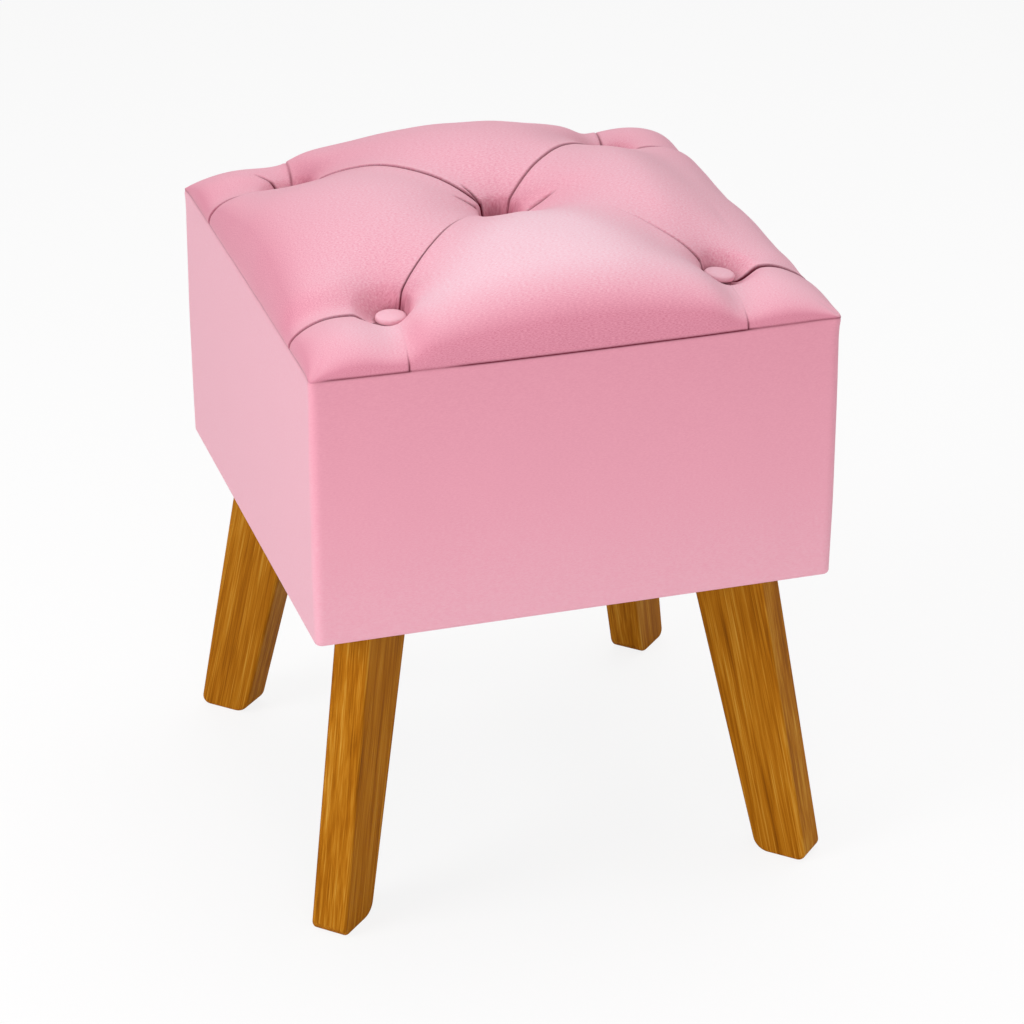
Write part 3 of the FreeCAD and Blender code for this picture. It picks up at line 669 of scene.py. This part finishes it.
def button(name):
    """Cloth-covered button: low dome, rolled rim, cloth gathered under it."""
    bm = bmesh.new()
    shade = bm.verts.layers.float.new("fold")
    painted_light_layer = bm.verts.layers.float.new("tone_and_painted_light")
    bmesh.ops.create_uvsphere(bm, u_segments=64, v_segments=32, radius=1)
    for vert in bm.verts:
        x, y, z = vert.co
        vert[painted_light_layer] = BUTTON_NAP
        vert[shade] = BUTTON_SHADE * float(smooth_step(BUTTON_SHADE_START, BUTTON_SHADE_FULL, z))
        rim = float(smooth_step(GATHER_START, 1.0, math.hypot(x, y)))
        gather = 1 + GATHER_DEPTH * math.cos(BUTTON_GATHERS * math.atan2(y, x)) * rim
        height = math.copysign(abs(z) ** BUTTON_ROUND, z) * (BUTTON_DOME if z > 0 else BUTTON_UNDER)
        vert.co = Vector((x * gather, y * gather, height)) * BUTTON_RADIUS * BUTTON_FIT
    lift, lean = BUTTON_SEATS.get(name, BUTTON_SEAT)
    rim_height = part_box("button_cap_" + name)[0].z
    bmesh.ops.rotate(bm, verts=bm.verts, matrix=Matrix.Rotation(math.radians(lean), 3, "Y"))
    bmesh.ops.translate(bm, verts=bm.verts, vec=(*TUFTS[name], rim_height + lift))
    return new_piece("button_" + name, bm)


# Dust cover: it lies over the edge of the hem, and goes up to the base inside it
DUST_CELLS = 110
DUST_THICKNESS = 0.4 * MM
DUST_LOW, DUST_HIGH = 0.3 * MM, 0.6 * MM  # inside the CAD sheet's lowest and highest places
DUST_STEP_IN, DUST_STEP_OUT = 4 * MM, 3 * MM
DUST_SLACK, DUST_HELD = 0.21 * MM, 15 * MM
DUST_RIPPLES = ((24 * MM, 1.0), (9 * MM, 0.5))


def dust_cover():
    """Black cloth under the base, a little slack between its staples."""
    low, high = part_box("dust_cover")
    half = high.x
    step = HALF - HEM_WIDTH
    bm = bmesh.new()
    bmesh.ops.create_grid(bm, x_segments=DUST_CELLS, y_segments=DUST_CELLS, size=half)
    for vert in bm.verts:
        size = max(abs(vert.co.x), abs(vert.co.y))
        centre = 1 - float(smooth_step(step - DUST_STEP_IN, step + DUST_STEP_OUT, size))
        ripple = sum(share * noise.noise(vert.co / length) for length, share in DUST_RIPPLES)
        slack = DUST_SLACK * ripple * float(smooth_step(half, half - DUST_HELD, size))
        climb = high.z - DUST_HIGH - (low.z + DUST_LOW)
        vert.co.z = low.z + DUST_LOW + centre * climb + slack
    return thickened(new_piece("dust_cover_cloth", bm), DUST_THICKNESS, 0)


# Materials
def linear(code):
    """sRGB hex to a linear colour."""
    values = [int(code[i : i + 2], 16) / 255 for i in (1, 3, 5)]
    return [v / 12.92 if v <= 0.04045 else ((v + 0.055) / 1.055) ** 2.4 for v in values] + [1]


def add(tree, kind, inputs=(), stops=(), **settings):
    """Adds a node with its settings and colour stops; inputs are values, or sockets to link."""
    node = tree.nodes.new(kind)
    for name, value in settings.items():
        setattr(node, name, value)
    for name, value in dict(inputs).items():
        if isinstance(value, bpy.types.NodeSocket):
            tree.links.new(value, node.inputs[name])
        else:
            node.inputs[name].default_value = value
    for _ in stops[2:]:
        node.color_ramp.elements.new(0.5)
    for number, (place, code) in enumerate(stops):
        node.color_ramp.elements[number].position = place
        node.color_ramp.elements[number].color = linear(code)
    return node


def new_material(name):
    material = bpy.data.materials.new(name)
    material.use_nodes = True
    material.node_tree.nodes.clear()
    return material, material.node_tree


def surface(tree, inputs, bump, strength, distance):
    """Principled surface with a bump, joined to the output."""
    relief = {"Height": bump, "Strength": strength, "Distance": distance}
    lumps = add(tree, "ShaderNodeBump", relief).outputs["Normal"]
    shader = add(tree, "ShaderNodeBsdfPrincipled", {"Normal": lumps, **inputs})
    add(tree, "ShaderNodeOutputMaterial", {"Surface": shader.outputs["BSDF"]})


# real yarns are 0.3 mm; drawn 0.7 mm wide so that the weave shows
YARN = 0.7 * MM
SUEDE_TONES = [(0.0, "#C87088"), (0.5, "#E299AB"), (1.0, "#EBC8D3")]
# Painted shade colour of the folds, the button rims and the sewn line
PAINTED_FOLD_SHADE = "#5C0622"
SUEDE_GLOSS = 0.3


def suede(name, coords_kind, stretch, weave_share, sheen_weight):
    """Pink microfibre suede: streaks in its pile, painted light and shade that make it pale or deep rose,
    and painted shade in the folds.
    """
    material, tree = new_material(name)
    coords = add(tree, "ShaderNodeTexCoord").outputs[coords_kind]
    lengthways = add(tree, "ShaderNodeMapping", {"Vector": coords, "Scale": stretch}).outputs["Vector"]
    weave = {"Vector": lengthways, "Scale": 1 / YARN, "Detail": 3.0, "Roughness": 0.7}
    streaks = add(tree, "ShaderNodeTexNoise", weave).outputs["Fac"]
    # Painted light and shade of the cloth's tone, from the mesh
    painted_light_share = add(tree, "ShaderNodeAttribute", attribute_name="tone_and_painted_light").outputs["Fac"]
    middle = {0: painted_light_share, 1: 0.5 - 0.5 * weave_share}
    steady = add(tree, "ShaderNodeMath", middle, operation="ADD").outputs[0]
    uneven = {0: streaks, 1: weave_share, 2: steady}
    tone = add(tree, "ShaderNodeMath", uneven, operation="MULTIPLY_ADD").outputs[0]
    cloth_tone = add(tree, "ShaderNodeValToRGB", {"Fac": tone}, SUEDE_TONES).outputs["Color"]
    fold = add(tree, "ShaderNodeAttribute", attribute_name="fold").outputs["Fac"]
    # Painted shade: the folds, the button rims and the sewn line are darkened towards a dark red-brown
    shade_mix = {"Factor": fold, "A": cloth_tone, "B": linear(PAINTED_FOLD_SHADE)}
    deep = add(tree, "ShaderNodeMix", shade_mix, data_type="RGBA")
    # no light comes back from inside a fold
    sheen, gloss = [
        add(tree, "ShaderNodeMix", {"Factor": fold, "A": open_cloth, "B": 0.0}, data_type="FLOAT")
        for open_cloth in (sheen_weight, SUEDE_GLOSS)
    ]
    cloth = {
        "Base Color": deep.outputs["Result"],
        "Roughness": 0.6,
        "Specular IOR Level": gloss.outputs["Result"],
        "Sheen Weight": sheen.outputs["Result"],
        "Sheen Roughness": 0.6,
        "Sheen Tint": linear("#FFD6E2"),
    }
    surface(tree, cloth, bump=streaks, strength=0.12, distance=0.4 * MM)
    return material


# Grain of the legs: stretch along the leg, width across it, detail
GRAIN_LAYERS = [(26, 5 * MM, 3.0), (60, 0.9 * MM, 2.0)]
FINE_GRAIN_SHARE = 0.5
GRAIN_SHIFT = (0.13, 0.07, 0.31)  # metres from one leg's grain to the next
WOOD_TONES = [(0.30, "#784304"), (0.44, "#9C5C08"), (0.54, "#B07016"), (0.68, "#C69036")]


def stained_wood(name, angle, tilt, seed):
    """Amber-stained pine board: fine straight grain down the leg, dark latewood lines, satin lacquer."""
    material, tree = new_material(name)
    coords = add(tree, "ShaderNodeTexCoord").outputs["Object"]
    turned = {"Location": [seed * shift for shift in GRAIN_SHIFT], "Rotation": (0, tilt, angle)}
    layers = []
    for length, width, detail in GRAIN_LAYERS:
        place = {"Vector": coords, "Scale": (1, 1, length), **turned}
        along = add(tree, "ShaderNodeMapping", place, vector_type="TEXTURE").outputs["Vector"]
        grain = {"Vector": along, "Scale": 1 / width, "Detail": detail, "Roughness": 0.55}
        layers.append(add(tree, "ShaderNodeTexNoise", grain).outputs["Fac"])
    both = {"Factor": FINE_GRAIN_SHARE, "A": layers[0], "B": layers[1]}
    mixed = add(tree, "ShaderNodeMix", both, data_type="FLOAT").outputs["Result"]
    tone = add(tree, "ShaderNodeValToRGB", {"Fac": mixed}, WOOD_TONES).outputs["Color"]
    wood = {"Base Color": tone, "Roughness": 0.5, "Specular IOR Level": 0.04}
    surface(tree, wood, bump=mixed, strength=0.12, distance=0.3 * MM)
    return material


def speckled(name, dark, pale, grain, roughness, metallic=0.0, bump=0.1):
    """Plain material with a fine mottle of its own grain size."""
    material, tree = new_material(name)
    coords = add(tree, "ShaderNodeTexCoord").outputs["Object"]
    lumps = {"Vector": coords, "Scale": 1 / grain, "Detail": 4.0, "Roughness": 0.6}
    mottle = add(tree, "ShaderNodeTexNoise", lumps).outputs["Fac"]
    stops = [(0.35, dark), (0.65, pale)]
    tone = add(tree, "ShaderNodeValToRGB", {"Fac": mottle}, stops).outputs["Color"]
    plain = {"Base Color": tone, "Roughness": roughness, "Metallic": metallic}
    surface(tree, plain, bump=mottle, strength=bump, distance=0.2 * MM)
    return material


def dress(obj, material):
    obj.data.materials.clear()
    obj.data.materials.append(material)


# Put the pouf together
TOP_SUEDE = suede("pink suede, seat", "UV", (0.4 * FLAT_SIDE, FLAT_SIDE, 1), 1.4, 0.45)
SIDE_SUEDE = suede("pink suede, sides", "Object", (0.35, 0.35, 1), 0.35, 0.4)

seat = seat_cover()
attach(seat, "root")
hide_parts("top_cover", "seat_wadding", "seat_foam")
dress(seat, TOP_SUEDE)

band = side_cover()
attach(band, "root")
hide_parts("side_cover")
dress(band, SIDE_SUEDE)

for tuft_name in TUFTS:
    cap = button(tuft_name)
    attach(cap, "root")
    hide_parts("button_cap_" + tuft_name)
    dress(cap, SIDE_SUEDE)

# Dead black, rough and slightly furry
DUST_CLOTH = speckled("black non-woven dust cloth", "#141416", "#26262A", 0.8 * MM, 0.95, bump=0.4)
dust = dust_cover()
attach(dust, "root")
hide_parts("dust_cover")
dress(dust, DUST_CLOTH)

# The grain runs along each leg, which leans out by its splay over its height
LEG_SPLAY, LEG_HEIGHT = 50.5 * MM, 217.0 * MM
LEG_TILT = math.atan2(LEG_SPLAY, LEG_HEIGHT)
for number, corner in enumerate(("front_right", "rear_right", "rear_left", "front_left")):
    angle = math.radians(-45 + 90 * number)
    pine = stained_wood("stained pine, " + corner, angle, -LEG_TILT, number + 1)
    dress(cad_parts["leg_" + corner], pine)

# Finishes of the pieces inside
PLAIN = {
    # pale yellow, dull, with a soft mottle
    "pine": speckled("planed pine", "#C49A62", "#DDBB86", 6 * MM, 0.6),
    # a little greyer and more even than pine
    "plywood": speckled("birch plywood", "#BE9A68", "#D6B888", 9 * MM, 0.6),
    # cream, matt and open-celled
    "foam": speckled("cut foam", "#D8CFA8", "#EBE4C6", 1.0 * MM, 0.95, bump=0.5),
    # straw-coloured, with a slight shine from the wax
    "twine": speckled("waxed twine", "#B8AC8A", "#D8CEB0", 0.6 * MM, 0.8),
    # even off-white, half shiny
    "plastic": speckled("moulded plastic", "#C8C8C2", "#D6D6D0", 3 * MM, 0.5),
    # bright blue-grey metal with a fine crystal mottle
    "zinc": speckled("zinc-plated steel", "#9A9DA2", "#B4B8BE", 0.7 * MM, 0.38, 1.0),
}
PLAIN_NODES = {
    "pine": ["corner_post_", "leg_dowels"],
    "plywood": ["_board"],
    "foam": ["_pad"],
    "twine": ["tuft_twine"],
    "plastic": ["twine_washers", "button_backs"],
    "zinc": ["hanger_bolts", "tee_nuts", "_screws", "_staples"],
}
for kind, marks in PLAIN_NODES.items():
    for name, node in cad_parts.items():
        if any(mark in name for mark in marks):
            dress(node, PLAIN[kind])


# Studio; the camera sees the floor this far towards plain white
FLOOR_GLOW = 0.85
FLOOR_HALF = 6
# Lamps: place, aim, size in metres, power in watts
LAMPS = {
    "left softbox": ((-1.9, -0.4, 1.5), (0, 0, 0.25), 1.2, 22.3),
    "top softbox": ((0.4, 0.5, 2.3), (0, 0, 0.3), 1.6, 20),
    "front fill": ((-0.4, -2.4, 0.9), (0, 0, 0.25), 1.6, 23),
}


def area_light(name, place, target, size, power):
    light = bpy.data.lights.new(name, "AREA")
    light.shape, light.size, light.energy = "DISK", size, power
    obj = bpy.data.objects.new(name, light)
    obj.location = place
    obj.rotation_euler = (Vector(target) - Vector(place)).to_track_quat("-Z", "Y").to_euler()
    bpy.context.scene.collection.objects.link(obj)


def studio_floor():
    """Plain pale floor that keeps the shadow."""
    bm = bmesh.new()
    bmesh.ops.create_grid(bm, x_segments=2, y_segments=2, size=FLOOR_HALF)
    floor = new_piece("studio_floor", bm, smooth=False)
    material, tree = new_material("pale studio floor")
    lit = add(tree, "ShaderNodeBsdfDiffuse", {"Color": linear("#F6F5F5")})
    white = add(tree, "ShaderNodeEmission", {"Color": linear("#FFFFFF"), "Strength": 1.0})
    seen = add(tree, "ShaderNodeLightPath").outputs["Is Camera Ray"]
    share = add(tree, "ShaderNodeMath", {0: seen, 1: FLOOR_GLOW}, operation="MULTIPLY")
    both = {0: share.outputs[0], 1: lit.outputs["BSDF"], 2: white.outputs["Emission"]}
    mixed = add(tree, "ShaderNodeMixShader", both)
    add(tree, "ShaderNodeOutputMaterial", {"Surface": mixed.outputs["Shader"]})
    dress(floor, material)


def surroundings():
    """White to the camera, grey as a light."""
    world = bpy.data.worlds.new("white studio")
    bpy.context.scene.world = world
    world.use_nodes = True
    tree = world.node_tree
    tree.nodes.clear()
    rays = add(tree, "ShaderNodeLightPath").outputs["Is Camera Ray"]
    tones = {"Factor": rays, "A": linear("#A8A8A8"), "B": linear("#FFFFFF")}
    colour = add(tree, "ShaderNodeMix", tones, data_type="RGBA")
    sky = add(tree, "ShaderNodeBackground", {"Color": colour.outputs["Result"], "Strength": 1.0})
    add(tree, "ShaderNodeOutputWorld", {"Surface": sky.outputs["Background"]})


# Camera fitted to the photo: angles in degrees, then its place in metres from the origin on the floor
AZIMUTH, ELEVATION = math.radians(-17.25), math.radians(25.95)
LENS, SENSOR = 126.62, 36
EYE_BACK, EYE_RIGHT, EYE_UP = 2.5739, 0.00875, 0.1854


def camera():
    """The photo's view: from the front, a little to the left and above, with a long lens."""
    level = math.cos(ELEVATION)
    back = Vector((math.sin(AZIMUTH) * level, -math.cos(AZIMUTH) * level, math.sin(ELEVATION)))
    right = Vector((math.cos(AZIMUTH), math.sin(AZIMUTH), 0))
    up = back.cross(right)
    data = bpy.data.cameras.new("photo camera")
    data.lens, data.sensor_width = LENS, SENSOR
    obj = bpy.data.objects.new("photo camera", data)
    obj.matrix_world = Matrix((right, up, back)).transposed().to_4x4()
    obj.location = back * EYE_BACK + right * EYE_RIGHT + up * EYE_UP
    bpy.context.scene.collection.objects.link(obj)
    bpy.context.scene.camera = obj


studio_floor()
for lamp, settings in LAMPS.items():
    area_light(lamp, *settings)
surroundings()
camera()
bpy.context.scene.view_settings.view_transform = "Standard"
